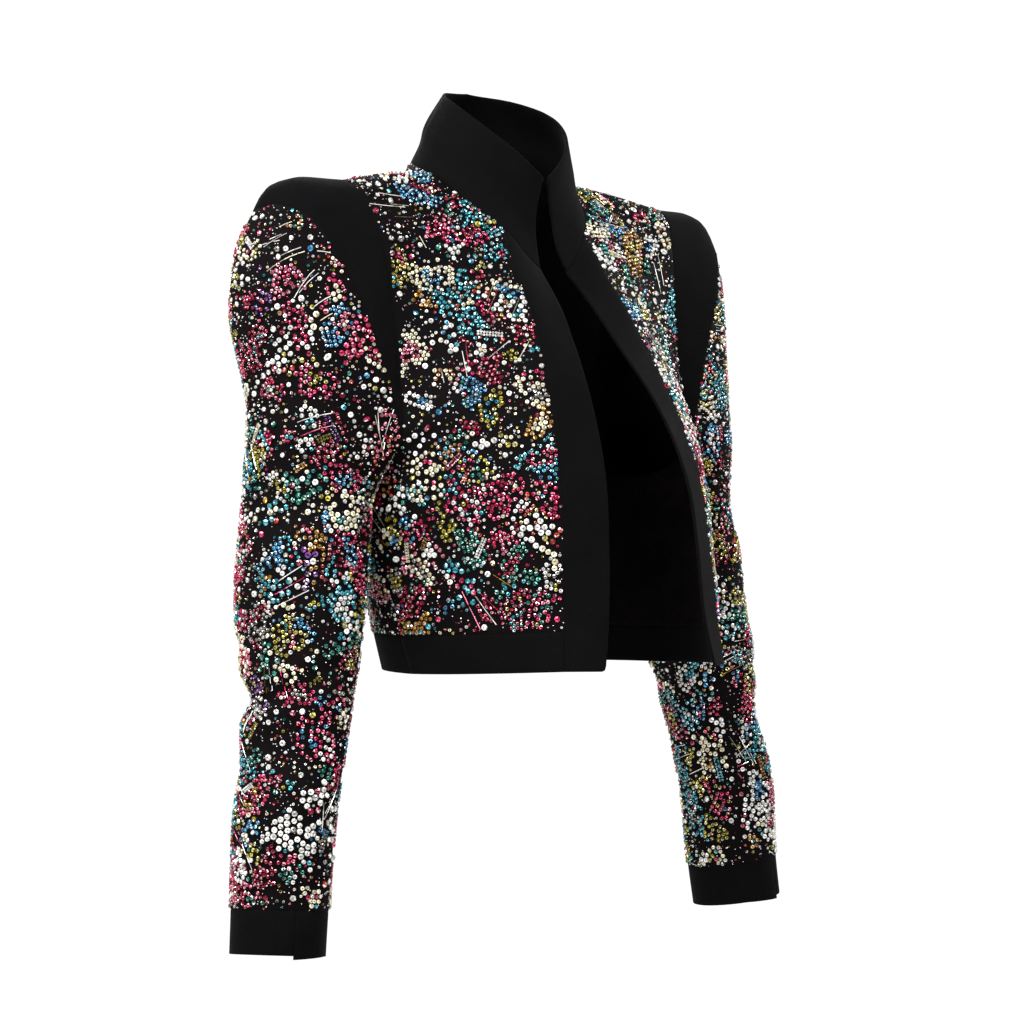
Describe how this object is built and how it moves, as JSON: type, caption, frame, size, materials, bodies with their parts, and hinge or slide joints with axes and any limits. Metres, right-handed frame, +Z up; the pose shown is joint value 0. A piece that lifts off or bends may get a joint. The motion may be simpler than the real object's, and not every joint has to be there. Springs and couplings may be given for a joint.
{
  "type": "jacket",
  "caption": "Cropped open-front evening jacket in worn form: beaded fronts, back and two-piece sleeves, with black velvet collar, bands, hem and cuffs.",
  "frame": {"origin": "on the neck's axis, level with the points where the shoulder seams meet the neck", "axes": "+Z up, -Y the way the wearer faces, +X the wearer's left"},
  "size_m": [0.5668, 0.2974, 0.7043],
  "materials": {
    "beaded_cloth": "dark cloth covered in glass beads",
    "black_velvet": "black velvet with a short pile"
  },
  "bodies": {
    "root": {"back": "beaded_cloth", "collar": "black_velvet", "cuff_left": "black_velvet", "cuff_right": "black_velvet", "front_band_left": "black_velvet", "front_band_right": "black_velvet", "front_left": "beaded_cloth", "front_right": "beaded_cloth", "hem_band_back": "black_velvet", "hem_band_front_left": "black_velvet", "hem_band_front_right": "black_velvet", "shoulder_band_left": "black_velvet", "shoulder_band_right": "black_velvet", "top_sleeve_left": "beaded_cloth", "top_sleeve_right": "beaded_cloth", "under_sleeve_left": "beaded_cloth", "under_sleeve_right": "beaded_cloth"}
  },
  "joints": []
}
